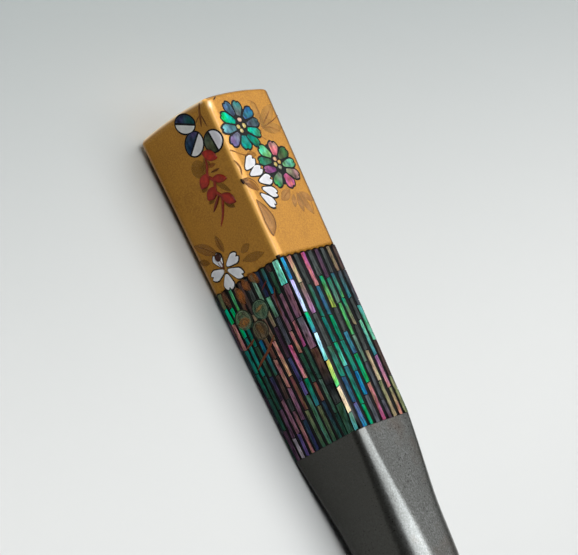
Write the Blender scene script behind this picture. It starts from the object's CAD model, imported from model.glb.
import bpy
import numpy as np
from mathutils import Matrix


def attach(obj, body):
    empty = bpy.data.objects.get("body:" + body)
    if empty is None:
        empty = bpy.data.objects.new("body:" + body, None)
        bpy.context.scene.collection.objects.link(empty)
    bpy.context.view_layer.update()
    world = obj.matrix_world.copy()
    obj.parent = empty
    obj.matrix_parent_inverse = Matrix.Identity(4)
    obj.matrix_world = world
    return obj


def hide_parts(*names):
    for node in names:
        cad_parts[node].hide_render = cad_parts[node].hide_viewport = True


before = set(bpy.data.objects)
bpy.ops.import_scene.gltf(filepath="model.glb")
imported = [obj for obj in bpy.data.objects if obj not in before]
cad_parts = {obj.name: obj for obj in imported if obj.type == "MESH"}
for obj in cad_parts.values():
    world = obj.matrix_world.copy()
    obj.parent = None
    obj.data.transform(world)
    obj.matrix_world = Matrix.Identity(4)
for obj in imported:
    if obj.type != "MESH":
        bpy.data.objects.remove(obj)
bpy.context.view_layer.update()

# Sizes in millimetres, in the stick's own frame: x from the head's end to the tip, z up, and
# the face with the leaves towards -y. Blender's lengths are metres.
MM = 0.001
head_w = 12.0
band_w = 10.6
gold_len = 20.9
band_len = 21.5
stem_len = 130.0
tip_w = 4.1
corner_r = 0.8
end_r = 0.5
end_dome = 0.15
coat_t = 0.3
fit = 0.02
head_len = gold_len + band_len
taper = (head_w - band_w) / 2 / head_len

# The motifs are set out on a drawing of so many steps along the gold and, to each side of the
# face's middle, so many across it.
along_steps = 21
face_steps = 6
step = gold_len / along_steps

# The stem's sections. Columns: place along the stem as a share of its length, share of the way
# from the tip's thickness to the band's width, corner radius as a share of the half width.
stem_table = np.array([
    (0.000, 1.000, 0.15), (0.012, 0.978, 0.19), (0.028, 0.957, 0.26), (0.043, 0.932, 0.33),
    (0.059, 0.905, 0.41), (0.082, 0.877, 0.52), (0.112, 0.869, 0.61), (0.150, 0.834, 0.69),
    (0.200, 0.772, 0.80), (0.245, 0.710, 0.90), (0.290, 0.646, 1.00), (0.440, 0.492, 1.00),
    (0.670, 0.277, 1.00), (0.900, 0.077, 1.00), (0.985, 0.000, 1.00)])
stem_x = head_len + stem_table[:, 0] * stem_len
stem_half = (tip_w + (band_w - tip_w) * stem_table[:, 1]) / 2
stem_corner = np.maximum(corner_r, stem_table[:, 2] * stem_half)
tip_x = stem_x[-1]
tip_len = head_len + stem_len - tip_x


def half_at(x):
    """Half the head's width at x: it falls evenly from the far end to the foot of the band."""
    return head_w / 2 - taper * np.asarray(x, float)


# How the stick lies: on the head's lower edge at the foot of the band and on the stem's tip. The
# slope is the least rise over way from that edge to any ring below it, and the middle is that
# of the outline as it lies.
tip_angle = np.radians([20, 40, 58, 74, 84])
end_angle = np.radians([15, 35, 55, 75])
end_x = end_dome + end_r * (1 - np.cos(end_angle))
low_x = np.concatenate([stem_x[1:], tip_x + tip_len * np.sin(tip_angle)])
low_half = np.concatenate([stem_half[1:], tip_w / 2 * np.cos(tip_angle)])
rest_angle = np.arctan(np.min((band_w / 2 - low_half) / (low_x - head_len)))
rest_lift = head_len * np.sin(rest_angle) + band_w / 2 * np.cos(rest_angle)
side_x = np.concatenate([end_x, low_x])
side_half = np.concatenate([half_at(end_x) - end_r * (1 - np.sin(end_angle)), low_half])
mid_x = (np.max(side_x * np.cos(rest_angle) + side_half * np.sin(rest_angle))
         + np.min(side_x * np.cos(rest_angle) - side_half * np.sin(rest_angle))) / 2


def turned(p):
    """Directions in the stick's frame as they lie: turned about y by the resting angle."""
    x, y, z = np.moveaxis(np.asarray(p, float), -1, 0)
    c, s = np.cos(rest_angle), np.sin(rest_angle)
    return np.stack([x * c + z * s, y, z * c - x * s], -1)


def lying(p):
    """Points in the stick's frame, in mm, as metres in the shared frame: turned, then moved."""
    return (turned(p) + [-mid_x, 0, rest_lift]) * MM


def placed(name, data):
    """A new object in the scene that holds that camera, mesh or light."""
    made = bpy.data.objects.new(name, data)
    bpy.context.scene.collection.objects.link(made)
    return made


# Camera at the photo's viewing angle. Its place and its axes are set in the stick's frame.
camera_at = (66.25, -238.03, 183.75)
camera_right = (0.41594, 0.60004, 0.68333)
camera_down = (0.89782, -0.15148, -0.41348)
photo_w = 578
focal_px = 2600

lens = bpy.data.cameras.new("camera")
camera = placed("camera", lens)
bpy.context.scene.camera = camera
lens.sensor_fit = "HORIZONTAL"
lens.sensor_width = 36
lens.lens = lens.sensor_width * focal_px / photo_w
lens.clip_start = 0.01
lens.clip_end = 20
camera_turn = np.eye(4)
camera_turn[:3, 0] = turned(camera_right)
camera_turn[:3, 1] = -turned(camera_down)
camera_turn[:3, 2] = np.cross(camera_turn[:3, 0], camera_turn[:3, 1])
camera_turn[:3, 3] = lying(camera_at)
camera.matrix_world = camera_turn.T.tolist()


def linear(code):
    """An sRGB hex colour as linear red, green, blue and alpha."""
    part = np.array([int(code[i:i + 2], 16) for i in (1, 3, 5)]) / 255
    light = np.where(part <= 0.04045, part / 12.92, ((part + 0.055) / 1.055) ** 2.4)
    return (*light.tolist(), 1.0)


def rgb(code):
    """The same colour as an array of three, for a piece's own colours."""
    return np.array(linear(code)[:3])


def grain(size):
    """The scale of a pattern on Object coordinates whose features measure size mm."""
    return 1 / (size * MM)


def feed(tree, node, inputs):
    """Sets a node's inputs to values, or links them to other nodes' outputs."""
    for name, value in dict(inputs).items():
        if isinstance(value, bpy.types.NodeSocket):
            tree.links.new(value, node.inputs[name])
        else:
            node.inputs[name].default_value = value


def add(tree, kind, inputs=(), **settings):
    """Adds a node with its settings and its inputs."""
    made = tree.nodes.new(kind)
    for name, value in settings.items():
        setattr(made, name, value)
    feed(tree, made, inputs)
    return made


def finish(name):
    """A new node material: gives the material, its tree and its shader."""
    material = bpy.data.materials.new(name)
    material.use_nodes = True
    tree = material.node_tree
    return material, tree, tree.nodes["Principled BSDF"]


# Where a node that mixes colours has its share, its two colours and its result, and between
# which values a noise pattern mostly lies.
mix_share, mix_first, mix_second, mix_result = 0, 6, 7, 2
noise_low, noise_high = 0.3, 0.7


def layered(tree, base, layers):
    """A base colour with others laid over it in turn. A layer's share rises from 0 to most
    while its value goes from start to end. Columns: value, start, end, most, colour."""
    for value, start, end, most, colour in layers:
        share = add(tree, "ShaderNodeMapRange",
                    {"Value": value, "From Min": start, "From Max": end, "To Max": most})
        base = add(tree, "ShaderNodeMix",
                   {mix_share: share.outputs[0], mix_first: base, mix_second: colour},
                   data_type="RGBA").outputs[mix_result]
    return base


def gold_powder_lacquer():
    """Fine gold powder sprinkled in clear lacquer and polished: a warm satin gold, a little
    cloudy, with the grain of the powder in its gloss. The powder is drawn .18 mm coarse so that
    it shows. Where the hand rubs the edges, the gold is worn to the colour in hue by the share
    in place."""
    material, tree, shader = finish("gold_powder_lacquer")
    place = add(tree, "ShaderNodeTexCoord").outputs["Object"]
    cloud = add(tree, "ShaderNodeTexNoise", {"Vector": place, "Scale": grain(3.0), "Detail": 5.0})
    powder = add(tree, "ShaderNodeTexNoise", {"Vector": place, "Scale": grain(0.18), "Detail": 3.0})
    worn = add(tree, "ShaderNodeAttribute", attribute_name="hue").outputs["Color"]
    share = add(tree, "ShaderNodeAttribute", attribute_name="place").outputs["Vector"]
    share = add(tree, "ShaderNodeSeparateXYZ", {"Vector": share}).outputs["X"]
    base = layered(tree, linear("#8e5d1e"), [
        (cloud.outputs["Fac"], 0, 1, 1, linear("#b47c26")),
        (powder.outputs["Fac"], 0.35, 0.7, 0.6, linear("#ca9232")),
        (share, 0, 1, 1, worn)])
    rough = add(tree, "ShaderNodeMapRange", {"Value": powder.outputs["Fac"], "To Min": 0.4,
                                             "To Max": 0.54})
    bump = add(tree, "ShaderNodeBump", {"Height": powder.outputs["Fac"], "Strength": 0.2,
                                        "Distance": 0.01 * MM})
    feed(tree, shader, {"Base Color": base, "Metallic": 0.2, "Roughness": rough.outputs[0],
                        "Specular IOR Level": 0.2, "Normal": bump.outputs[0]})
    return material


def tin_powder_lacquer():
    """Black lacquer with fine tin powder in it, rubbed by use: a dark warm grey with a wide
    soft gloss and a fine grain, drawn .2 mm coarse so that it shows. Its layers are a cloud of
    powder, single flakes, brown where it is worn thin, the front and the far side, where less
    powder lies, and where the hue is 1 the band's ground, a deep black without powder."""
    material, tree, shader = finish("tin_powder_lacquer")
    place = add(tree, "ShaderNodeTexCoord").outputs["Object"]
    cloud = add(tree, "ShaderNodeTexNoise", {"Vector": place, "Scale": grain(5.0), "Detail": 5.0})
    powder = add(tree, "ShaderNodeTexNoise", {"Vector": place, "Scale": grain(0.2), "Detail": 3.0})
    side = add(tree, "ShaderNodeSeparateXYZ", {"Vector": place}).outputs["Y"]
    ground = add(tree, "ShaderNodeAttribute", attribute_name="hue").outputs["Fac"]
    base = layered(tree, linear("#4c4c48"), [
        (cloud.outputs["Fac"], 0, 1, 1, linear("#60615e")),
        (powder.outputs["Fac"], 0.45, 0.75, 0.45, linear("#9a9c9a")),
        (cloud.outputs["Fac"], 0.58, 0.75, 0.5, linear("#5a4634")),
        (side, -2.2 * MM, -5 * MM, 0.88, linear("#2e2d28")),
        (side, 0.5 * MM, 5 * MM, 0.4, linear("#34322c")),
        (ground, 0, 1, 1, linear("#0c0b0c"))])
    metal = add(tree, "ShaderNodeMapRange", {"Value": ground, "To Min": 0.6, "To Max": 0.82})
    rough = add(tree, "ShaderNodeMapRange", {"Value": powder.outputs["Fac"], "To Min": 0.22,
                                             "To Max": 0.38})
    bump = add(tree, "ShaderNodeBump", {"Height": powder.outputs["Fac"], "Strength": 0.8,
                                        "Distance": 0.01 * MM})
    feed(tree, shader, {"Base Color": base, "Metallic": metal.outputs[0],
                        "Roughness": rough.outputs[0], "Normal": bump.outputs[0]})
    return material


def black_lacquer():
    """Polished black lacquer, the ground that shows as lines round the shell: a dull deep
    black, as so little of it is open."""
    material, tree, shader = finish("black_lacquer")
    place = add(tree, "ShaderNodeTexCoord").outputs["Object"]
    cloud = add(tree, "ShaderNodeTexNoise", {"Vector": place, "Scale": grain(0.8), "Detail": 3.0})
    base = layered(tree, linear("#080708"), [(cloud.outputs["Fac"], 0, 1, 1, linear("#141415"))])
    feed(tree, shader, {"Base Color": base, "Roughness": 0.5, "Specular IOR Level": 0.1})
    return material


def shell(name, gloss, metal, change, low, high):
    """Shell cut thin and polished under clear lacquer, so it is glossy. Its own colour comes
    from the piece's hue. Its layers give streaks along it, from low to high in brightness, and
    its colour drifts by change. The piece's place is in mm: streaks are about .7 mm wide, and
    the drift is over about 1.4 mm."""
    material, tree, shader = finish(name)
    hue = add(tree, "ShaderNodeAttribute", attribute_name="hue").outputs["Color"]
    place = add(tree, "ShaderNodeAttribute", attribute_name="place").outputs["Vector"]
    along = add(tree, "ShaderNodeMapping", {"Vector": place, "Scale": (0.7, 1.1, 1.0)}).outputs[0]
    layers = add(tree, "ShaderNodeTexNoise", {"Vector": along, "Scale": 1.5, "Detail": 5.0})
    drift = add(tree, "ShaderNodeTexNoise", {"Vector": place, "Scale": 0.7, "Detail": 2.0})
    spin = add(tree, "ShaderNodeMapRange",
               {"Value": drift.outputs["Fac"], "From Min": noise_low, "From Max": noise_high,
                "To Min": 0.5 - change, "To Max": 0.5 + change})
    lift = add(tree, "ShaderNodeMapRange",
               {"Value": layers.outputs["Fac"], "From Min": noise_low, "From Max": noise_high,
                "To Min": low, "To Max": high})
    base = add(tree, "ShaderNodeHueSaturation", {"Hue": spin.outputs[0], "Value": lift.outputs[0],
                                                 "Saturation": 1.05, "Color": hue})
    feed(tree, shader, {"Base Color": base.outputs[0], "Metallic": metal, "Roughness": gloss,
                        "Specular IOR Level": 0.2, "Specular Tint": base.outputs[0]})
    return material


def coloured_lacquer(name, rough, shine, cloud_size):
    """Lacquer coloured with pigment, laid on with a brush: a low gloss and an uneven colour,
    in clouds of that size."""
    material, tree, shader = finish(name)
    hue = add(tree, "ShaderNodeAttribute", attribute_name="hue").outputs["Color"]
    place = add(tree, "ShaderNodeTexCoord").outputs["Object"]
    cloud = add(tree, "ShaderNodeTexNoise", {"Vector": place, "Scale": grain(cloud_size),
                                             "Detail": 3.0})
    lift = add(tree, "ShaderNodeMapRange",
               {"Value": cloud.outputs["Fac"], "From Min": noise_low, "From Max": noise_high,
                "To Min": 0.65, "To Max": 1.25})
    base = add(tree, "ShaderNodeHueSaturation", {"Value": lift.outputs[0], "Color": hue})
    feed(tree, shader, {"Base Color": base.outputs[0], "Roughness": rough,
                        "Specular IOR Level": shine})
    return material


def thin_lacquer_film(name, cover):
    """A film of coloured lacquer so thin that what lies under it shows through, by what is
    left over from cover."""
    material = coloured_lacquer(name, 0.4, 0.1, 1.5)
    material.node_tree.nodes["Principled BSDF"].inputs["Alpha"].default_value = cover
    return material


gold_finish = gold_powder_lacquer()
stem_finish = tin_powder_lacquer()
ground_finish = black_lacquer()
strip_finish = shell("abalone_strips", 0.3, 0.06, 0.05, 0.2, 1.5)
petal_finish = shell("abalone_petals", 0.3, 0.15, 0.06, 0.25, 1.3)
pearl_finish = shell("pearly_white_shell", 0.3, 0.0, 0.01, 0.9, 1.08)
red_finish = coloured_lacquer("red_raised_lacquer", 0.4, 0.2, 0.5)
brown_finish = coloured_lacquer("brown_painted_lacquer", 0.42, 0.1, 0.8)
film_finish = thin_lacquer_film("thin_lacquer_over_shell", 0.6)
shade_finish = thin_lacquer_film("thin_lacquer_over_gold", 0.5)
grain_finish = coloured_lacquer("gold_leaf_grains", 0.3, 0.3, 0.5)


def skin(rings, hues=None, places=None, soft=True):
    """A mesh of closed skins. rings has the shape (pieces, rings, points, 3), in mm in the
    stick's frame. Ring after ring is joined by quads, and the first and the last ring of a
    piece each close on their middle point. hues and places ride along as attributes. soft
    blends the shading over the edges, else each face is shaded flat."""
    pieces, n, m, _ = rings.shape
    i, j = np.meshgrid(np.arange(n - 1), np.arange(m), indexing="ij")
    k = (j + 1) % m
    quads = np.stack([i * m + j, i * m + k, (i + 1) * m + k, (i + 1) * m + j], -1).reshape(-1, 4)
    a = np.arange(m)
    b = (a + 1) % m
    first = np.stack([b, a, np.full(m, n * m)], -1)
    last = np.stack([(n - 1) * m + a, (n - 1) * m + b, np.full(m, n * m + 1)], -1)
    fans = np.concatenate([first, last])
    own = (n * m + 2) * np.arange(pieces)[:, None, None]

    def spread(values):
        ends = values[:, [0, -1]].mean(2)
        return np.concatenate([values.reshape(pieces, n * m, -1), ends], 1).reshape(
            pieces * (n * m + 2), -1)

    points = lying(spread(rings))
    quads = (quads + own).reshape(-1, 4)
    fans = (fans + own).reshape(-1, 3)
    flat = np.concatenate([quads[:, :3], quads[:, [0, 2, 3]], fans])
    corner = [points[flat[:, c]] for c in range(3)]
    if np.einsum("ij,ij->", corner[0], np.cross(corner[1], corner[2])) < 0:
        quads, fans = quads[:, ::-1], fans[:, ::-1]
    mesh = bpy.data.meshes.new("skin")
    mesh.vertices.add(len(points))
    mesh.vertices.foreach_set("co", points.astype(np.float32).ravel())
    loops = np.concatenate([quads.ravel(), fans.ravel()])
    mesh.loops.add(len(loops))
    mesh.loops.foreach_set("vertex_index", loops.astype(np.int32))
    sides = np.concatenate([np.full(len(quads), 4), np.full(len(fans), 3)])
    mesh.polygons.add(len(sides))
    mesh.polygons.foreach_set("loop_start", (np.cumsum(sides) - sides).astype(np.int32))
    mesh.polygons.foreach_set("use_smooth", np.full(len(sides), soft))
    mesh.update(calc_edges=True)
    if hues is not None:
        colour = np.ones((len(points), 4), np.float32)
        colour[:, :3] = spread(np.broadcast_to(hues, rings.shape))
        mesh.attributes.new("hue", "FLOAT_COLOR", "POINT").data.foreach_set("color", colour.ravel())
    if places is not None:
        spot = spread(np.broadcast_to(places, rings.shape)).astype(np.float32)
        mesh.attributes.new("place", "FLOAT_VECTOR", "POINT").data.foreach_set("vector", spot.ravel())
    return mesh


def piece(name, mesh, material, nodes=()):
    """Puts a mesh into the scene as a piece of the stick that stands for those nodes. It rides
    on the stick's only body."""
    mesh.name = name
    mesh.materials.append(material)
    made = placed(name, mesh)
    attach(made, "root")
    if nodes:
        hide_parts(*nodes)


face_turn = {"top": 0, "front": 90, "under": 180, "back": 270}


def on_face(face, x, v, d):
    """Points on a face of the head. x runs along the stick, v across the face and on round its
    corner, and d stands out from the surface. v goes straight to the end of the flat, then by
    the angle (v - flat) / corner_r round the corner's arc, then straight on down the side."""
    x, v, d = np.broadcast_arrays(np.asarray(x, float), v, d)
    flat = half_at(x) - corner_r
    over = np.maximum(np.abs(v) - flat, 0)
    angle = np.minimum(over / corner_r, np.pi / 2)
    across = np.sign(v) * (np.minimum(np.abs(v), flat) + (corner_r + d) * np.sin(angle))
    out = flat + (corner_r + d) * np.cos(angle) - (over - corner_r * angle)
    turn = np.radians(face_turn[face])
    return np.stack([x, across * np.cos(turn) - out * np.sin(turn),
                     across * np.sin(turn) + out * np.cos(turn)], -1)


def at_grid(at, local):
    """Places on a face, in mm, of points given in steps from a motif's middle."""
    x = gold_len * at[0] / along_steps
    middle = np.array([x, half_at(x) * at[1] / face_steps])
    return middle + step * np.asarray(local)


def smooth(x, xs, ys):
    """A smooth curve through points: cubic Hermite pieces, slopes from the neighbours."""
    slope = np.gradient(ys, xs)
    i = np.clip(np.searchsorted(xs, x, side="right") - 1, 0, len(xs) - 2)
    gap = xs[i + 1] - xs[i]
    t = (x - xs[i]) / gap
    return ((2 * t**3 - 3 * t**2 + 1) * ys[i] + (t**3 - 2 * t**2 + t) * gap * slope[i]
            + (3 * t**2 - 2 * t**3) * ys[i + 1] + (t**3 - t**2) * gap * slope[i + 1])


def square_rings(x, half, corner, side_points, arc_points):
    """Rings of a square bar with round corners: each side is straight for 2 (half - corner),
    and each corner is a quarter circle. x, half and corner have one value a ring, or one
    a point."""
    side = np.linspace(-1, 1, side_points + 1)[:-1]
    arc = np.linspace(0, 1, arc_points + 1)[:-1]
    flat = (half - corner)[..., None]
    r = corner[..., None]
    straight = np.stack([flat * side, np.broadcast_to(flat + r, flat.shape[:-1] + side.shape)], -1)
    bend = np.stack([flat + r * np.sin(arc * np.pi / 2), flat + r * np.cos(arc * np.pi / 2)], -1)
    quarter = np.concatenate([straight, bend], -2)
    turn = np.radians([0, -90, -180, -270])[:, None]
    y = quarter[..., None, :, 0] * np.cos(turn) - quarter[..., None, :, 1] * np.sin(turn)
    z = quarter[..., None, :, 0] * np.sin(turn) + quarter[..., None, :, 1] * np.cos(turn)
    rings = np.stack([np.broadcast_to(np.asarray(x)[..., None, None], y.shape), y, z], -1)
    return rings.reshape(*rings.shape[:-3], -1, 3)


def wooden_stick():
    """The core inside the gold, the black ground of the band and the stem, as one skin: rings
    of a square bar with round corners, and a half ellipse for the tip. The ridge between the
    top and the front is rubbed rounder below the band: its radius grows by wear_r times
    exp(-way / wear_way), by the square of the way round to that ridge."""
    wear_r, wear_way = 0.9, 9
    # How far the band's ground lies below the strips' faces, how far the core's end stays off
    # the gold's, how far the ground runs in under the gold, and its bevel at the band's foot.
    ground, clear, lap, bevel = 0.09, 0.5, 0.4, 0.06
    core_x = np.array([coat_t + end_dome + clear, gold_len - lap - 0.05])
    core = half_at(core_x) - coat_t
    band_x = np.linspace(gold_len - lap, head_len - bevel, 14)
    down = np.concatenate([head_len + np.array([0, bevel, 0.2, 0.5]),
                           np.linspace(head_len + 1, tip_x, 90)])
    wear = wear_r * np.exp(-(down - head_len) / wear_way)
    tip = np.radians(np.linspace(6, 86, 14))
    tip_half = tip_w / 2 * np.cos(tip)
    x = np.concatenate([core_x, band_x, down, tip_x + tip_len * np.sin(tip)])
    half = np.concatenate([core, half_at(band_x) - ground, smooth(down, stem_x, stem_half), tip_half])
    corner = np.concatenate([0 * core + corner_r - coat_t, 0 * band_x + corner_r - ground,
                             smooth(down, stem_x, stem_corner), tip_half])
    rubbed = corner + np.concatenate([0 * core, 0 * band_x, wear, 0 * tip_half])
    side_points, arc_points, least = 8, 10, 0.001
    rings = square_rings(x, half, np.minimum(corner, half - least), side_points, arc_points)
    worn = square_rings(x, half, np.minimum(rubbed, half - least), side_points, arc_points)
    share = np.clip((rings[..., 2] - rings[..., 1]) / (2 * half[:, None]), 0, 1) ** 2
    rings = rings + (worn - rings) * share[..., None]
    black = (x < head_len).astype(float)[:, None, None]
    return skin(rings[None], black)


def gold_coat():
    """The gold coat as a thin cup over the core: a slightly domed end, round edges, four sides
    and a scalloped lower edge, and back up inside. The lower edge steps back by wave times the
    size of a cosine across each face. The end's corners stand back by bow times the square of
    the place across times the place up, and over bow_way along the sides that dies out. The
    end's edges and the long ridges are worn, pale at the front and dark at the far side. The
    wear on the ridge and its patch near the end are bell curves across the ridge, and the patch
    is one along it too."""
    wave, wave_pitch = 0.16, 1.2
    bow, bow_way = 0.38, 4
    rounder = 0.25  # how much rounder the gold is than the strips below it
    side_points, arc_points = 72, 8
    dome = np.array([0.15, 0.4, 0.7, 0.9])
    bend = np.radians([8, 25, 42, 60, 76])
    x = np.concatenate([end_dome * dome**2, end_dome + end_r * (1 - np.cos(bend)),
                        np.linspace(end_dome + end_r, gold_len, 42)])
    half = np.concatenate([(head_w / 2 - end_r) * dome,
                           half_at(x[4:9]) - end_r * (1 - np.sin(bend)), half_at(x[9:])])
    round_r = corner_r + rounder
    corner = np.concatenate([0.8 * round_r * dome, round_r * (0.8 + 0.2 * np.sin(bend)),
                             0 * x[9:] + round_r])
    outer = square_rings(x, half, corner, side_points, arc_points)
    inner_x = np.array([gold_len, gold_len - 1, coat_t + end_dome])
    inner = square_rings(inner_x, half_at(inner_x) - coat_t + fit,
                         0 * inner_x + corner_r - coat_t, side_points, arc_points)
    rings = np.concatenate([outer, inner])
    section = rings[len(x) - 1]
    along = np.where(np.abs(section[:, 1]) > np.abs(section[:, 2]), section[:, 2], section[:, 1])
    scallop = wave * np.abs(np.cos(np.pi * along / wave_pitch))
    rings[len(x) - 1:len(x) + 1, :, 0] -= scallop

    # Wear, from places across and up as shares of the half width. The lists run over the rings
    # of the end's round edge.
    way = rings[..., 0]
    y, z = rings[..., 1] / half_at(way), rings[..., 2] / half_at(way)
    top = z > np.abs(y)
    pale = np.zeros(len(rings))
    dark = np.zeros(len(rings))
    pale[3:10] = [0.3, 0.9, 1.0, 1.0, 0.75, 0.35, 0.06]
    dark[3:7] = [0.3, 1.0, 1.0, 0.5]
    edge = np.where(top, dark[:, None], pale[:, None])
    low = 0.5 * np.clip((-y - z - 1.86) / 0.05, 0, 1) * (y < 0)
    ridge = np.exp(-((y + z + 0.03) / 0.045) ** 2) * np.clip((z - y - 1.65) / 0.1, 0, 1)
    ridge *= 0.75 + 0.25 * np.exp(-way / 1.5)
    patch = 0.85 * np.exp(-((way - 1.15) / 0.45) ** 2 - ((y + z - 0.03) / 0.05) ** 2) * (z - y > 1.5)
    far = (y > 0.8) & (z > 0.8)
    far_ridge = 0.8 * far * np.clip((y + z - 1.83) / 0.04, 0, 1)
    worn = np.max([edge, low, ridge, patch, far_ridge], 0)
    shaded = (top & (dark[:, None] > 0)) | far
    tint = np.where(ridge[..., None] > 0.05, rgb("#f4bc62"), rgb("#fce2bc"))
    tint = np.where(shaded[..., None], rgb("#5c4a3c"), tint)
    tint = np.where(patch[..., None] > 0.2, rgb("#fdecce"), tint)
    rings[..., 0] += bow * (y * z) ** 2 * np.clip(1 - way / bow_way, 0, 1)
    return skin(rings[None], tint[None], np.stack([worn, 0 * worn, 0 * worn], -1)[None])


piece("stick_lacquer", wooden_stick(), stem_finish, ["stick"])
piece("gold_coat", gold_coat(), gold_finish, ["gold_head"])

# Shell colours by name, as they show under the photo's light.
hue_codes = {
    "night": "#24262c", "smoke": "#525856", "slate": "#5c6068", "steel": "#3f7490", "navy": "#34415c",
    "brown": "#5a4844", "umber": "#6a5040", "copper": "#845a50", "sand": "#a89478",
    "cream": "#e8d8b0", "peach": "#d8a088", "coral": "#d89490", "rose": "#cc6496",
    "mauve": "#906878", "plum": "#5c4458", "lilac": "#c08ac0", "lavender": "#c8bcf8",
    "violet": "#685a90", "indigo": "#444a70", "blue": "#3090b8", "lagoon": "#4a98a8",
    "ice": "#c4e0f8", "aqua": "#6fd8cc", "mint": "#8fe8b8", "fern": "#6fd890",
    "jade": "#1eb078", "teal": "#2a8c7c", "pine": "#30584a", "moss": "#46705a",
    "grass": "#a4c45c", "sage": "#7ba08c", "olive": "#909870", "lime": "#70f080", "lemon": "#e8e078",
    "silver": "#8c848c",
}
hues = {name: rgb(code) for name, code in hue_codes.items()}

# Rows of strips. Columns: place across the face as a share of the half width, drift across
# over the band in mm, width in mm, brightness, cuts in hundredths of the band, and each
# strip's colours.
top_rows = [
    (0.85, 0.0, 0.70, 0.7, [15, 36, 57, 78], "brown slate aqua-mint brown olive"),
    (0.66, 0.0, 0.66, 0.7, [15, 31, 44, 65, 84],
     "sand slate-lagoon smoke mint-lagoon lilac-coral olive-peach"),
    (0.43, 0.0, 0.68, 0.7, [15, 30, 46, 61, 79],
     "smoke steel-fern jade-sand smoke sand-cream olive-sand"),
    (0.232, 0.0, 0.66, 0.7, [17, 32, 51, 67, 89], "plum teal-sage fern sage slate slate-plum"),
    (0.02, 0.0, 0.78, 0.7, [15, 34, 48, 61, 78],
     "smoke jade-grass smoke lagoon-steel jade peach-rose"),
    (-0.22, 0.0, 0.76, 0.7, [20, 37, 52, 70, 84], "rose-coral steel jade-teal teal blue slate"),
    (-0.465, 0.0, 0.74, 0.7, [18, 37, 52, 66, 88],
     "smoke moss-teal teal jade-aqua lagoon-jade jade"),
    (-0.69, -0.08, 0.82, 0.7, [16, 34, 53, 71, 86],
     "peach-cream sand-lilac smoke moss-teal steel violet-blue"),
    (-0.9, -0.4, 0.54, 0.75, [13, 32, 44, 60, 75, 90],
     "blue lavender-ice jade-steel ice-aqua lemon-lime cream sage-aqua")]
front_rows = [
    (0.85, -0.28, 0.96, 1.0, [14, 33, 51, 72, 83],
     "mint-aqua mauve slate-mauve umber-night night-smoke moss"),
    (0.635, 0.0, 0.50, 0.92, [4, 17, 33, 48, 67, 87],
     "brown moss mauve coral-rose moss sage-moss pine"),
    (0.465, 0.0, 0.50, 0.92, [15, 37, 50, 67, 78],
     "moss-blue mauve coral-peach pine copper navy-pine"),
    (0.295, 0.0, 0.56, 0.92, [15, 27, 43, 63, 79],
     "navy mint-sage slate rose-coral jade-lagoon olive-moss"),
    (0.14, 0.0, 0.50, 0.92, [16, 31, 49, 63, 71], "sage sand plum indigo violet moss"),
    (-0.045, 0.0, 0.54, 0.92, [17, 37, 58, 78], "smoke sand coral-peach copper olive-moss"),
    (-0.225, 0.0, 0.54, 0.92, [19, 33, 46, 63, 82], "brown sand umber coral mauve-plum navy"),
    (-0.375, 0.0, 0.47, 0.92, [17, 33, 54, 68, 75], "umber moss blue-moss brown smoke mauve-coral"),
    (-0.53, 0.0, 0.47, 0.92, [16, 35, 53, 67, 87], "fern teal moss indigo-plum mauve violet"),
    (-0.69, 0.0, 0.49, 0.92, [10, 28, 51, 71, 88], "brown jade teal pine plum silver"),
    (-0.835, 0.0, 0.50, 0.92, [9, 18, 34, 48, 63, 82], "olive jade coral teal teal-pine pine plum")]
ridge_row = (1.0, 0.0, 0.26, 0.9, [15, 33, 52, 70, 86], "slate mauve smoke plum slate moss")
plain_hues = ["teal", "slate", "sage", "pine", "lagoon", "plum", "moss", "steel", "mauve", "jade"]
plain_row_count, plain_reach, plain_step = 9, 0.88, 22


def plain_rows(shift):
    """Even rows for a face away from the flowers: cuts step on from row to row, and the
    colours take their turn from a short list."""
    rows = []
    for i in range(plain_row_count):
        share = plain_reach - 2 * plain_reach * i / (plain_row_count - 1)
        cuts = list(range(9 + (i * 9 + shift) % plain_step, 94, plain_step))
        names = [plain_hues[(3 * i + 7 * c + shift) % len(plain_hues)] for c in range(len(cuts) + 1)]
        rows.append((share, 0.0, 0.7, 0.9, cuts, " ".join(names)))
    return rows


# The strips' small differences are drawn by chance, from a fixed start. The most that chance
# changes is given as a share for a strip's width and its widening along it, then in mm for its
# place, its slope, the slant of its ends and its tilt.
random = np.random.default_rng(11)
width_by, widen_by, place_by, slope_by, slant_by, tilt_by = 0.08, 0.14, 0.03, 0.11, 0.08, 0.015
strip_gap = 0.12


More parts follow.
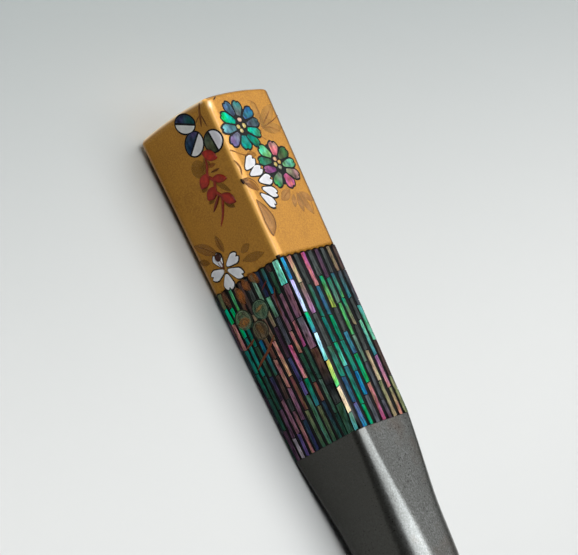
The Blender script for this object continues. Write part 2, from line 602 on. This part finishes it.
def shell_strips(face, rows, vary=0.2):
    """Rows of cut shell strips as one mesh. Each strip is a low pillow: a section across it
    with bevelled edges is carried along it, drawn in a little at both ends, and its colour
    goes from its first to its second. Its width, slope and place differ a little from its
    neighbours', and bright strips are cut narrower than dull ones. The two middle lines of a
    strip lie on the straight lines between the two beside them, so it stays flat where it
    crosses the corner. vary is how much the strips differ in brightness. Their places are set
    apart so that their patterns differ."""
    strips = []
    for share, drift, wide, light, cuts, names in rows:
        ends = [0] + list(cuts) + [100]
        for i, pair in enumerate(names.split()):
            both = (pair.split("-") * 2)[:2]
            first, second = (hues[n] * light for n in both)
            start = gold_len + band_len * ends[i] / 100 + strip_gap / 2
            stop = gold_len + band_len * ends[i + 1] / 100 - strip_gap / 2
            strips.append([start, stop, share, drift, wide, *first, *second])
    s = np.array(strips)
    k = len(s)
    jitter = random.uniform(-1, 1, (k, 6))[:, None, None].transpose(3, 0, 1, 2)
    start, stop, share, drift, wide = (s[:, c, None, None] for c in range(5))
    t = np.array([0, 0.008, 0.12, 0.35, 0.65, 0.88, 0.992, 1])[:, None]
    draw = np.array([0.96, 1, 1, 1, 1, 1, 1, 0.96])[:, None]
    low = np.array([1, 0, 0, 0, 0, 0, 0, 1])[:, None]
    across = np.array([-1, -1, -0.92, -0.3, 0.3, 0.92, 1, 1])
    height = np.array([-0.2, -0.02, 0.0, 0.0, 0.0, 0.0, -0.02, -0.2])
    x = start + (stop - start) * t
    v = (share * np.where(np.abs(share) < 1, half_at(x), half_at(x) - corner_r + corner_r * np.pi / 4)
         + drift * (x - gold_len) / band_len)
    slim_by, full_light, apart = 0.16, 0.12, 40
    slim = 1 - slim_by * np.clip(s[:, 5:11].mean(1) / full_light, 0, 1)[:, None, None]
    wider = 1 + width_by * jitter[0] + widen_by * jitter[1] * (t - 0.5)
    half_wide = wide / 2 * slim * wider * draw
    v = v + place_by * jitter[2] + slope_by * jitter[3] * (t - 0.5) + half_wide * across
    x = x + slant_by * jitter[4] * across * (1 - 2 * np.abs(t - 0.5) < 0.2)
    d = 0.004 + height - 0.02 * low * (np.abs(across) < 0.9) + tilt_by * jitter[5] * across
    d = np.broadcast_to(d, v.shape)
    paint = s[:, None, None, 5:8] * (1 - t[..., None]) + s[:, None, None, 8:11] * t[..., None]
    paint = np.clip(paint * np.exp(vary * jitter[1][..., None]), 0, 0.95)
    spot = np.stack(np.broadcast_arrays(x - start, across + 0 * v, apart * jitter[0] + 0 * v), -1)
    points = on_face(face, x, v, d)
    for i, way in ((3, 0.34), (4, 0.66)):
        points[:, :, i] = points[:, :, 2] * (1 - way) + points[:, :, 5] * way
    return skin(points, np.broadcast_to(paint, (*v.shape, 3)), spot, False)


for face, rows, vary in [("top", top_rows, 0.2), ("front", front_rows, 0.4),
                         ("under", plain_rows(0) + [ridge_row], 0.2),
                         ("back", plain_rows(5) + [ridge_row], 0.2)]:
    name = f"strips_{face}"
    piece(name + "_shell", shell_strips(face, rows, vary), strip_finish, [name])
piece("strips_far_ridge", shell_strips("top", [ridge_row]), strip_finish)

# Profiles of pieces seen from the side, from the low edge to the middle. Columns: share of
# the outline's size, height as a share of the piece's height above the face.
plaque_profile = np.array([(1.0, -1.0), (1.0, 0.45), (0.985, 0.72), (0.95, 0.9), (0.85, 0.97),
                           (0.5, 1.0)])
dome_profile = np.array([(1.0, -1.0), (1.0, 0.0), (0.95, 0.3), (0.84, 0.55), (0.66, 0.78),
                         (0.4, 0.94)])
paint_profile = np.array([(1.0, -1.0), (0.99, 0.3), (0.94, 0.75), (0.8, 1.0), (0.4, 1.0)])


def raised(face, outlines, height, profile, first, second=None, along=None):
    """Rings of pieces that stand on a face: each outline is repeated towards its middle by the
    profile's shares, at the profile's heights but never over deepest below the face. Colour
    goes from second to first by along, or by the profile's share where there is no along.
    The places of two pieces are set apart so that their patterns differ."""
    deepest, apart = 0.12, 7.3
    outlines = np.asarray(outlines, float)
    middle = outlines.mean(1, keepdims=True)
    p = middle[:, None] + (outlines - middle)[:, None] * profile[:, 0][:, None, None]
    d = np.maximum(height * profile[:, 1], -deepest)[:, None]
    rings = on_face(face, p[..., 0], p[..., 1], np.broadcast_to(d, p.shape[:3]))
    second = first if second is None else second
    if along is None:
        t = np.broadcast_to(profile[:, 0][:, None], p.shape[:3])[..., None]
    else:
        t = np.broadcast_to(along, p.shape[:3])[..., None]
    paint = np.asarray(second) * (1 - t) + np.asarray(first) * t
    spot = np.stack([p[..., 0], p[..., 1], np.broadcast_to(
        apart * np.arange(len(p))[:, None, None], p.shape[:3])], -1)
    return rings, paint, spot


def set_out(rows, x, y):
    """Outlines turned by the rows' third column and moved by the first two."""
    turn = np.radians(rows[:, 2, None])
    return np.stack([rows[:, 0, None] + x * np.cos(turn) - y * np.sin(turn),
                     rows[:, 1, None] + x * np.sin(turn) + y * np.cos(turn)], -1)


def petal_outlines(rows, notch, base, grow=0.0):
    """Flat petals in steps from the flower's middle: sides that widen by the power 0.74 from a
    base given as a share of the width, an elliptic outer end and a notch in it."""
    rows = np.asarray(rows, float)
    s = np.linspace(0, 1, 10)[:-1]
    a = np.radians(np.linspace(90, 20, 11))
    half_x = np.concatenate([0.62 * s, 0.62 + 0.38 * np.cos(a)])
    half_y = np.concatenate([base + (1 - base) * s**0.74, np.sin(a)])
    long, wide = rows[:, 3, None] + 2 * grow, rows[:, 4, None] + 2 * grow
    x = np.concatenate([long * (half_x - 0.5), long / 2 - notch, (long * (half_x - 0.5))[:, ::-1]], 1)
    y = np.concatenate([wide / 2 * half_y, 0 * wide, (-wide / 2 * half_y)[:, ::-1]], 1)
    return set_out(rows, x, y)


def oval_outlines(rows, points=24):
    """Ovals: half the length by the cosine and half the width by the sine of the way round.
    Columns: along, across, turn in degrees, length, width."""
    rows = np.asarray(rows, float)
    a = np.linspace(0, 2 * np.pi, points, endpoint=False)
    return set_out(rows, rows[:, 3, None] / 2 * np.cos(a), rows[:, 4, None] / 2 * np.sin(a))


def leaf_outlines(rows):
    """Pointed leaves: the half width follows the sine of the way along, to the power 0.8.
    Columns as for ovals."""
    rows = np.asarray(rows, float)
    s = np.linspace(0, 1, 14)
    edge = np.sin(np.pi * s) ** 0.8
    x = np.concatenate([s, s[-2:0:-1]]) - 0.5
    y = np.concatenate([edge, -edge[-2:0:-1]]) / 2
    return set_out(rows, rows[:, 3, None] * x, rows[:, 4, None] * y)


# Flowers and leaves. A motif has its middle on the drawing: along the head, across it. The
# black line round inlaid shell has its width in mm.
teal_at, rose_at, white_at = (4.6, -2.15), (10.0, 1.45), (11.6, -3.4)
cherry_at, leaves_at, spray_at = (18.8, -2.25), (3.8, 2.4), (10.2, 1.7)
outline_w = 0.23

# Petals. Columns: along, across, the way the petal points, length and width, in steps from
# the flower's middle, then its colour at the heart and at the outer end.
teal_petals = [
    (-1.37, 2.20, 115, 2.10, 1.26, "#41708a", "#3a72a8"),
    (-0.10, 2.35, 92, 2.15, 1.06, "#5a6470", "#46686c"),
    (0.98, 1.95, 68, 2.15, 1.12, "#2fc0a0", "#4c9470"),
    (2.00, 1.15, 46, 2.00, 1.12, "#16907c", "#3a9484"),
    (2.12, -0.40, -10, 1.75, 1.62, "#3a9a94", "#10a48c"),
    (1.50, -1.90, -58, 2.30, 1.32, "#7a7a90", "#8a74a8"),
    (0.12, -2.15, -92, 2.35, 1.20, "#62909a", "#78b8bc"),
    (-1.12, -1.65, -118, 2.30, 1.32, "#20b890", "#18e088"),
    (-2.25, -0.72, 207, 1.90, 1.32, "#4c5c74", "#5c8ca4"),
    (-2.15, 0.75, 160, 1.90, 1.38, "#667070", "#459488")]
rose_petals = [
    (-1.13, 1.65, 113, 2.10, 1.25, "#4c5c40", "#4d7848"),
    (0.18, 1.97, 92, 2.20, 1.12, "#7cb894", "#66c48c"),
    (1.45, 1.97, 63, 2.15, 1.22, "#8a8a70", "#b08c88"),
    (2.24, 0.71, 20, 1.80, 1.50, "#c86c98", "#dc80a8"),
    (1.87, -1.10, -45, 2.05, 1.38, "#808478", "#44ac58"),
    (0.50, -1.80, -97, 2.10, 0.98, "#844880", "#a46c90"),
    (-0.62, -2.05, -98, 2.20, 1.02, "#4c7c68", "#38945c"),
    (-1.75, -1.35, 230, 2.00, 1.42, "#84c880", "#5cd09c"),
    (-1.97, 0.45, 162, 1.80, 1.46, "#e07c88", "#cc9898")]
white_petals = [
    (-2.35, -0.20, 121, 2.55, 1.42), (-1.22, 0.32, 104, 2.60, 1.26), (0.00, 1.30, 92, 2.35, 1.38),
    (1.45, 1.25, 66, 2.45, 1.30), (2.45, 0.25, 45, 2.45, 1.32)]
cherry_petals = [
    (-0.44, 1.49, 104, 2.15, 1.30), (1.04, 1.24, 52, 2.35, 1.25), (1.56, -0.36, -13, 1.90, 1.50),
    (0.16, -1.30, -88, 2.15, 1.30), (-1.20, -0.38, 190, 1.75, 1.40)]
white_rim, white_core = rgb("#f2f2f4"), rgb("#d2d4dc")


def shell_petals(flower, face, at, rows, notch, base, height, material):
    """One flower's petals, each its own piece. A coloured petal goes from its heart's colour
    to its end's along it, and a white one from its rim's to its middle's."""
    for i, row in enumerate(rows):
        outline = at_grid(at, petal_outlines([row[:5]], notch, base))
        if len(row) > 5:
            heart, outer = (rgb(code) for code in row[5:])
            way = np.linspace(0, 1, outline.shape[1] // 2 + 1)
            along = np.concatenate([way, way[-2::-1]])
            rings, paint, spot = raised(face, outline, height, plaque_profile, outer, heart, along)
        else:
            rings, paint, spot = raised(face, outline, height, plaque_profile, white_rim, white_core)
        name = f"{flower}_petal_{i + 1}"
        piece(name + "_shell", skin(rings, paint, spot, False), material, [name])


def ground_plates(name, face, outlines, low_top):
    """Black lacquer under a motif: its outlines a line's width larger, each plate a hair
    above the last so that no two lie in one plane."""
    hair = 0.0012
    rings = [raised(face, outline[None], low_top + hair * i, paint_profile, (0, 0, 0))[0]
             for i, outline in enumerate(outlines)]
    piece(name, skin(np.concatenate(rings)), ground_finish)


# A petal's notch, in steps, and its base, as a share of its width. Ground plates have part of
# that notch and are larger by the line's width. A round plate lies under each heart. Then how
# high the shell and the ground stand over the gold, in mm.
notch_small, notch_deep, ground_notch = 0.22, 0.42, 0.7
base_wide, base_narrow = 0.36, 0.15
grown = outline_w / step
heart_plate = (0, 0, 0, 5.4, 5.2)
shell_top, cherry_top = 0.06, 0.15
ground_top, cherry_ground_top = 0.012, 0.035
for flower, at, rows, notch, base, material, slot in [
        ("teal", teal_at, teal_petals, notch_small, base_wide, petal_finish, "abalone_shell"),
        ("rose", rose_at, rose_petals, notch_small, base_wide, petal_finish, "abalone_shell"),
        ("white", white_at, white_petals, notch_deep, base_narrow, pearl_finish, "white_shell")]:
    shell_petals(flower, "top", at, rows, notch, base, shell_top, material)
    plates = petal_outlines([r[:5] for r in rows], notch * ground_notch, base, grown)
    plates = list(at_grid(at, plates))
    if flower != "white":
        plates.append(at_grid(at, oval_outlines([heart_plate], len(plates[0])))[0])
    ground_plates(flower + "_flower_ground", "top", plates, ground_top)
shell_petals("cherry", "front", cherry_at, cherry_petals, notch_deep, base_narrow, cherry_top,
             pearl_finish)
plates = petal_outlines(cherry_petals, notch_deep * ground_notch, base_narrow, grown * 0.8)
ground_plates("cherry_flower_ground", "front", at_grid(cherry_at, plates), cherry_ground_top)

# Grains at the hearts. Columns: along, across, turn, length, width, then colour.
teal_grains = [(0.04, 0.60, 0, 0.66, 0.62, "#dcc470"), (0.08, -0.49, 0, 0.58, 0.66, "#e0c46c"),
               (0.63, -0.21, 0, 0.56, 0.66, "#dcc888"), (-0.74, 0.25, 0, 0.56, 0.74, "#ecc0a4")]
rose_grains = [(-0.66, -0.15, 0, 0.56, 0.60, "#dca884"), (-0.20, 0.39, 0, 0.54, 0.60, "#d8a850"),
               (0.45, 0.13, 0, 0.56, 0.62, "#9a9c80"), (0.0, -0.45, 0, 0.58, 0.60, "#dcc468")]
for flower, at, rows in [("teal", teal_at, teal_grains), ("rose", rose_at, rose_grains)]:
    paint = np.array([rgb(row[5]) for row in rows])[:, None, None]
    outlines = at_grid(at, oval_outlines([row[:5] for row in rows], 16))
    rings, _, spot = raised("top", outlines, 0.12, dome_profile, (0, 0, 0))
    name = flower + "_heart"
    piece(name + "_grains", skin(rings, paint, spot), grain_finish, [name])

# Two tone leaves. Columns: along, across, the way the dividing line runs, half length, half
# width, then the pale colour and the dark half's two colours.
round_leaves = [
    (-2.03, -0.78, 241, 1.40, 1.08, "#d8d8d4", "#44446c", "#1c4c4c"),
    (0.56, -0.77, -53, 1.42, 1.25, "#dcdad8", "#284860", "#464a66"),
    (1.50, 1.92, 5, 1.20, 1.26, "#dcdae0", "#586044", "#505a4c")]
split_gap = 0.14


def leaf_half(row, side):
    """Half of an oval leaf, in steps: half an oval that stands off its dividing line by half
    the split's gap, turned right round for the other side."""
    a = np.radians(np.linspace(3, 177, 26))
    x, y = row[3] * np.cos(a), split_gap / 2 + (row[4] - split_gap / 2) * np.sin(a)
    return set_out(np.array([(*row[:2], row[2] + (180 if side < 0 else 0))]), x, y)


for i, row in enumerate(round_leaves):
    pale, dark, dark_end = (rgb(code) for code in row[5:])
    for tone, side, first, second, material, slot in [
            ("pale", 1, pale * 1.15, pale * 0.92, pearl_finish, "white_shell"),
            ("dark", -1, dark, dark_end, petal_finish, "dark_shell")]:
        outline = at_grid(leaves_at, leaf_half(row, side))
        along = None if tone == "pale" else np.linspace(0, 1, outline.shape[1])
        rings, paint, spot = raised("front", outline, shell_top, plaque_profile, first, second, along)
        name = f"leaf_{tone}_{i + 1}"
        piece(name + "_shell", skin(rings, paint, spot), material, [name])
leaf_plates = oval_outlines([(*r[:3], 2 * (r[3] + grown), 2 * (r[4] + grown)) for r in round_leaves],
                            40)
ground_plates("leaves_ground", "front", at_grid(leaves_at, leaf_plates), ground_top)


def strokes(name, face, lines, material, nodes=()):
    """Painted or laid lines as one mesh. Each line's bends are joined by a smooth curve, and a
    low lens is carried along it. It swells by the root of the sine of the way along, so it is
    thin at both ends. Columns: bends, width, height, colour."""
    section = np.array([(-1, 0.2), (-0.7, 0.8), (0, 1), (0.7, 0.8), (1, 0.2), (0, -1)])
    count, deepest = 28, 0.05
    rings, paint, spots = [], [], []
    for bends, wide, height, code in lines:
        bends = np.asarray(bends, float)
        way = np.concatenate([[0], np.cumsum(np.hypot(*np.diff(bends, axis=0).T))])
        t = np.linspace(0, way[-1], count)
        path = np.stack([smooth(t, way, bends[:, c]) for c in (0, 1)], -1)
        ahead = np.gradient(path, axis=0)
        ahead /= np.linalg.norm(ahead, axis=1, keepdims=True)
        square = np.stack([-ahead[:, 1], ahead[:, 0]], -1)
        swell = np.sqrt(np.clip(np.sin(np.pi * np.linspace(0.02, 0.98, count)), 0, 1))[:, None]
        p = path[:, None] + square[:, None] * (wide / 2 * swell * section[:, 0])[..., None]
        d = np.maximum(height * swell * section[:, 1], -deepest)
        rings.append(on_face(face, p[..., 0], p[..., 1], d))
        paint.append(np.broadcast_to(rgb(code), (*d.shape, 3)))
        spots.append(np.stack([p[..., 0], p[..., 1], 0 * d], -1))
    mesh = skin(np.stack(rings), np.stack(paint), np.stack(spots))
    piece(name, mesh, material, nodes)


def flat_leaves(name, face, rows, height, material, outlines=leaf_outlines, nodes=()):
    """Low leaves as one mesh. Columns as for the outline, then colour at the rim and inside."""
    shapes = outlines([row[:5] for row in rows])
    rim, inside = (np.array([rgb(row[c]) for row in rows])[:, None, None] for c in (5, 6))
    rings, paint, spot = raised(face, shapes, height, paint_profile, rim, inside)
    piece(name, skin(rings, paint, spot), material, nodes)


# The red spray: leaflets and stem, in steps from its middle.
spray_leaflets = [
    (-3.73, 1.25, 50, 2.40, 1.32, "#8c2010", "#cc2c18"),
    (-0.80, 1.12, 66, 2.25, 1.02, "#8c2412", "#b8321a"),
    (1.75, 1.10, 42, 2.35, 1.30, "#7c2012", "#cc361c"),
    (-1.45, -1.02, -58, 2.20, 1.38, "#94281a", "#cc3828"),
    (0.25, -0.82, -66, 2.15, 1.34, "#882010", "#b82c18"),
    (1.50, -0.80, -52, 2.40, 0.34, "#642010", "#7c2a16")]
spray_stem = [(-4.3, 0.65), (-2.7, 0.2), (-1.8, -0.3), (-0.9, 0.3), (0.3, -0.2), (1.1, 0.3),
              (2.4, -0.3), (3.3, -0.9), (4.1, -1.7)]
leaflets = [tuple(at_grid(spray_at, row[:2])) + row[2:] for row in spray_leaflets]
flat_leaves("spray_leaflets", "front", leaflets, 0.16, red_finish, nodes=["red_spray"])
strokes("spray_stem", "front", [(at_grid(spray_at, spray_stem), 0.46, 0.12, "#94301c")], red_finish)

# The bud on the cherry blossom with its stalk.
bud_at = at_grid(cherry_at, (-1.53, -0.20))
flat_leaves("cherry_bud_lacquer", "front", [(*bud_at, 0, 1.0, 0.95, "#2c1008", "#52200e")], 0.24,
            red_finish, oval_outlines, ["cherry_bud"])
heart = at_grid(cherry_at, (0.1, -0.1))
half_way = (bud_at + heart) / 2
stamens = [
    ([bud_at, half_way + [0, 0.12], heart], 0.16, 0.2, "#6a3418"),
    ([bud_at - [0, 0.25], half_way - [0, 0.3], heart], 0.13, 0.19, "#7a4020"),
    ([heart + [-0.3, 0.4], heart + [0.05, 0.1], heart + [0.35, -0.3]], 0.16, 0.2, "#a8803c"),
    ([heart + [-0.4, -0.3], heart, heart + [0.35, 0.35]], 0.14, 0.2, "#8a6028")]
strokes("cherry_stamens", "front", stamens, red_finish)

# Round leaves laid over the strips of the band. Columns: along the band as a share, across
# as a share of the half width, radius in steps, then rim and inner colours and the thin line
# round it.
band_discs = [
    (0.186, 0.00, 1.21, "#60826a", "#5e704c", "#141a14"),
    (0.284, -0.22, 1.19, "#665a46", "#765e40", "#2e2c20"),
    (0.190, -0.52, 1.24, "#7e9072", "#807e58", "#2a2e20")]
for i, (share, across, radius, rim, inside, edge) in enumerate(band_discs):
    x = gold_len + band_len * share
    middle = np.array([x, half_at(x) * across])
    row = (*middle, 0, 2 * radius * step, 2 * radius * step, rim, inside)
    name = f"band_disc_{i + 1}"
    flat_leaves(name + "_leaf", "front", [row], 0.1, film_finish, oval_outlines, [name])
    turn = np.radians(np.linspace(0, 350, 15))
    circle = radius * step * np.stack([np.cos(turn), np.sin(turn)], -1)
    lines = [(middle + 0.97 * circle, 0.12, 0.13, edge),
             (middle + 0.84 * circle, 0.07, 0.13, "#74866c")]
    strokes(name + "_rim", "front", lines, brown_finish)
disc_shades = [
    (25.3, -2.95, 88, 2.1, 1.15, "#94602e", "#bc7c40"),
    (24.75, -0.1, 107, 1.5, 0.5, "#9a7840", "#b08448"),
    (26.9, -1.2, 20, 1.5, 0.7, "#8a6434", "#8c6638")]
flat_leaves("band_disc_shades", "front", disc_shades, 0.125, film_finish)

# Leaves and stems painted in brown lacquer, a few hundredths of a millimetre high. Leaves:
# along, across, turn, length, width in mm, then rim and inner colours.
front_leaves = [
    (17.90, 1.80, 106, 1.7, 0.95, "#98682a", "#a4722e"),
    (19.25, 2.35, 82, 3.5, 1.05, "#98682a", "#a4722e"),
    (15.90, -1.35, 4, 2.3, 0.95, "#8c5c26", "#a06a2e"),
    (15.60, -3.60, 52, 3.6, 1.35, "#a06c38", "#b07c42"),
    (16.85, -4.55, 60, 1.7, 0.8, "#8c5c26", "#9c682c")]
front_shades = [
    (7.55, 2.5, 81, 1.45, 0.5, "#8c3c1c", "#84301a"),
    (8.3, 2.7, 85, 1.4, 0.36, "#8c481e", "#8a4a20"),
    (10.4, 2.75, 39, 2.4, 0.7, "#906428", "#865c26"),
    (12.5, 2.5, 39, 1.8, 0.85, "#5c3c18", "#664420"),
    (7.25, 1.45, -20, 1.5, 0.6, "#94642a", "#906228"),
    (9.3, 0.3, -58, 1.6, 0.9, "#6c4418", "#7c5020"),
    (11.0, 0.5, -66, 1.5, 0.8, "#6c4618", "#7c5420"),
    (6.9, 2.1, 30, 1.3, 0.6, "#986424", "#946426")]
front_round = [(7.1, 0.55, 0, 2.2, 2.1, "#a4742c", "#946626")]
band_leaves = [
    (21.65, -0.46, 22, 1.7, 1.05, "#8c5024", "#ac642c"),
    (22.44, -1.82, 5, 2.2, 1.25, "#945826", "#c87630"),
    (21.35, 1.0, 40, 2.0, 1.15, "#8c5424", "#b47030"),
    (21.9, -4.02, 5, 2.4, 0.8, "#704c34", "#845636")]
front_stems = [
    ([(0.6, 4.8), (1.5, 4.3), (2.2, 4.0), (3.1, 3.6)], 0.36, 0.02, "#6e4216"),
    ([(1.7, 4.25), (2.7, 4.35), (3.5, 4.4)], 0.2, 0.02, "#6e4418"),
    ([(1.8, 4.2), (2.1, 3.5), (2.4, 3.1)], 0.16, 0.02, "#6e4418"),
    ([(8.35, 3.4), (8.3, 2.7), (8.2, 2.0)], 0.18, 0.02, "#553010"),
    ([(17.3, -1.6), (18.0, -2.0), (18.6, -2.3)], 0.12, 0.02, "#5c3c1c"),
    ([(14.4, -4.9), (15.5, -3.6), (16.9, -2.3)], 0.08, 0.04, "#4a2e14"),
    ([(15.0, -1.4), (16.0, -1.35), (16.9, -1.3)], 0.07, 0.04, "#4a2e14")]
band_stems = [
    ([(22.4, 2.6), (22.7, 2.05), (23.1, 1.4)], 0.18, 0.05, "#6e2418"),
    ([(23.5, 3.15), (24.5, 2.75), (25.9, 2.5), (26.9, 2.5)], 0.24, 0.05, "#643824"),
    ([(28.3, 0.2), (29.7, -1.9), (30.1, -2.8), (30.9, -4.2)], 0.34, 0.05, "#7c4428"),
    ([(27.5, -2.7), (27.85, -3.45), (28.1, -4.35)], 0.3, 0.05, "#74402a")]
flat_leaves("painted_leaves_front", "front", front_leaves, 0.03, shade_finish)
flat_leaves("painted_shades_front", "front", front_shades, 0.015, shade_finish)
flat_leaves("painted_round_leaf", "front", front_round, 0.02, shade_finish,
            oval_outlines)
flat_leaves("painted_leaves_band", "front", band_leaves, 0.05, film_finish)
strokes("painted_stems_front", "front", front_stems, brown_finish)
strokes("painted_stems_band", "front", band_stems, brown_finish)

# The same on the top face, with the fan of stems behind the flowers.
top_stems = [
    ([(1.6, 1.2), (2.1, 2.1), (3.4, 2.1), (5.2, 1.45)], 0.15, 0.02, "#8a5826"),
    ([(2.8, 4.86), (4.2, 2.95), (5.2, 1.45)], 0.17, 0.02, "#865424"),
    ([(4.0, 5.6), (4.75, 3.5), (5.3, 1.4)], 0.15, 0.02, "#84562a"),
    ([(6.3, 4.7), (5.4, 3.1), (5.3, 1.4)], 0.14, 0.02, "#8a5826"),
    ([(5.3, 1.4), (6.0, 0.65), (6.9, 1.4)], 0.13, 0.02, "#8a5826"),
    ([(10.86, -5.85), (10.96, -4.8), (11.6, -3.9), (12.55, -3.7)], 0.15, 0.02, "#74481e"),
    ([(11.35, -5.7), (11.7, -5.05), (12.25, -4.57), (12.8, -4.3)], 0.13, 0.02, "#7c5024"),
    ([(7.17, -5.6), (7.75, -4.7), (8.2, -3.4), (8.15, -1.65)], 0.18, 0.02, "#94601e"),
    ([(8.4, -5.7), (9.4, -5.3), (10.4, -5.5)], 0.16, 0.02, "#94601e"),
    ([(13.7, 2.5), (15.0, 2.2), (16.3, 2.3)], 0.12, 0.025, "#96622a"),
    ([(13.8, 3.1), (15.1, 3.1), (16.3, 3.4)], 0.12, 0.025, "#96622a"),
    ([(13.8, 3.7), (14.95, 4.3), (16.9, 4.0)], 0.12, 0.025, "#96622a"),
    ([(13.2, 1.6), (13.8, 0.4), (14.4, -0.8)], 0.11, 0.025, "#96622a"),
    ([(13.6, -5.1), (14.9, -3.95), (16.2, -3.46), (17.25, -3.8), (18.25, -4.95)], 0.16, 0.025,
     "#6a421c"),
    ([(13.8, -5.15), (15.2, -4.4), (16.8, -4.2)], 0.1, 0.025, "#8a5c2c")]
top_leaves = [
    (3.5, 1.75, 2, 3.6, 1.2, "#c8964c", "#d8a45c"),
    (3.85, 3.3, 125, 4.6, 1.7, "#c8964c", "#d8a45c"),
    (5.5, 3.3, 85, 3.6, 1.5, "#c8964c", "#d8a45c"),
    (13.8, 0.4, 115, 2.6, 1.3, "#ba8850", "#c89860"),
    (14.7, 1.45, -26, 1.8, 0.9, "#ba8850", "#c89860"),
    (15.05, 2.4, -5, 2.6, 1.0, "#ba8850", "#c89860"),
    (15.3, 3.25, 23, 3.3, 1.1, "#ba8850", "#c89860"),
    (14.5, 3.95, 56, 2.6, 1.0, "#ba8850", "#c89860"),
    (11.8, -4.75, 47, 2.5, 1.1, "#8a5626", "#a46c34"),
    (8.2, -2.4, 80, 1.7, 0.8, "#9c6c30", "#ac7c3c")]
flat_leaves("painted_leaves_top", "top", top_leaves, 0.014, shade_finish)
strokes("painted_stems_top", "top", top_stems, brown_finish)

# The arched leaf beside the ridge: a smooth curve through six points.
arch = np.array([(13.6, -5.15), (14.9, -4.0), (16.3, -3.5), (17.5, -4.0), (18.25, -5.0), (16.0, -5.3)])
arch_way = np.linspace(0, 5, 26, endpoint=False)
arch_points = np.stack([smooth(arch_way, np.arange(6.0), arch[:, c]) for c in (0, 1)], -1)[None]
rings, paint, spot = raised("top", arch_points, 0.014, paint_profile, rgb("#ac7844"), rgb("#dcac78"))
piece("painted_ridge_leaf", skin(rings, paint, spot), shade_finish)

# Small old chips in the gold at the ridge and at the end's edge.
for name, face, row in [
        ("ridge_chip", "front", (11.1, 5.5, 8, 0.75, 0.3, "#3a2412", "#241408")),
        ("end_chip", "top", (0.75, -4.5, 120, 0.8, 0.16, "#3a2a1c", "#2c2018"))]:
    flat_leaves(name, face, [row], 0.02, brown_finish, oval_outlines)

# The floor, a sheet of pale paper that is a little darker towards the head's end.
paper, paper_tree, paper_shader = finish("pale_paper_floor")
paper_place = add(paper_tree, "ShaderNodeTexCoord").outputs["Object"]
paper_x = add(paper_tree, "ShaderNodeSeparateXYZ", {"Vector": paper_place}).outputs["X"]
paper_share = add(paper_tree, "ShaderNodeMapRange",
                  {"Value": paper_x, "From Min": -0.145, "From Max": -0.035},
                  interpolation_type="SMOOTHSTEP")
paper_hue = layered(paper_tree, linear("#838d8d"),
                    [(paper_share.outputs[0], 0, 1, 1, linear("#dddfde"))])
feed(paper_tree, paper_shader, {"Base Color": paper_hue, "Roughness": 0.9})
floor_mesh = bpy.data.meshes.new("floor")
reach = 3  # metres to each side
floor_mesh.from_pydata([(-reach, -reach, 0), (reach, -reach, 0), (reach, reach, 0),
                        (-reach, reach, 0)], [], [(0, 1, 2, 3)])
floor_mesh.materials.append(paper)
placed("floor", floor_mesh)

# The middle of the head as it lies, in metres.
head_middle = np.array([-0.05, 0, 0.01])


def softbox(name, towards, distance, size, power, tint):
    """A soft light aimed at the head's middle from that direction, distance and size in
    metres."""
    light = bpy.data.lights.new(name, "AREA")
    light.shape = "RECTANGLE"
    light.size, light.size_y = size
    light.energy = power
    light.color = linear(tint)[:3]
    back = np.array(towards, float) / np.linalg.norm(towards)
    side = np.cross((0, 1, 0), back)
    side /= np.linalg.norm(side)
    place = np.eye(4)
    place[:3, 0], place[:3, 1], place[:3, 2] = side, np.cross(back, side), back
    place[:3, 3] = head_middle + distance * back
    made = placed(name, light)
    made.matrix_world = place.T.tolist()
    return made


# A wide light from above, one above and one behind that show in the gloss alone, and a small low
# one off the head's end for its round edge.
softbox("top_light", (-0.1, 0.12, 1.0), 0.8, (1.0, 1.2), 10.2, "#ffffff")
softbox("top_sheen", (-0.145, 0.0, 1.0), 0.79, (0.5, 1.02), 17.5, "#f0f7ff").visible_diffuse = False
softbox("back_panel", (-0.145, 0.72, 0.68), 1.0, (1.2, 0.7), 1.0, "#fdfdff").visible_diffuse = False
softbox("end_light", (-1.0, 0.16, 0.1), 0.5, (0.3, 0.12), 1.6, "#fff8ee").visible_camera = False
world = bpy.data.worlds.new("studio")
world.use_nodes = True
world.node_tree.nodes["Background"].inputs["Color"].default_value = linear("#c8ccd0")
world.node_tree.nodes["Background"].inputs["Strength"].default_value = 0.05
bpy.context.scene.world = world
bpy.context.scene.view_settings.view_transform = "Standard"
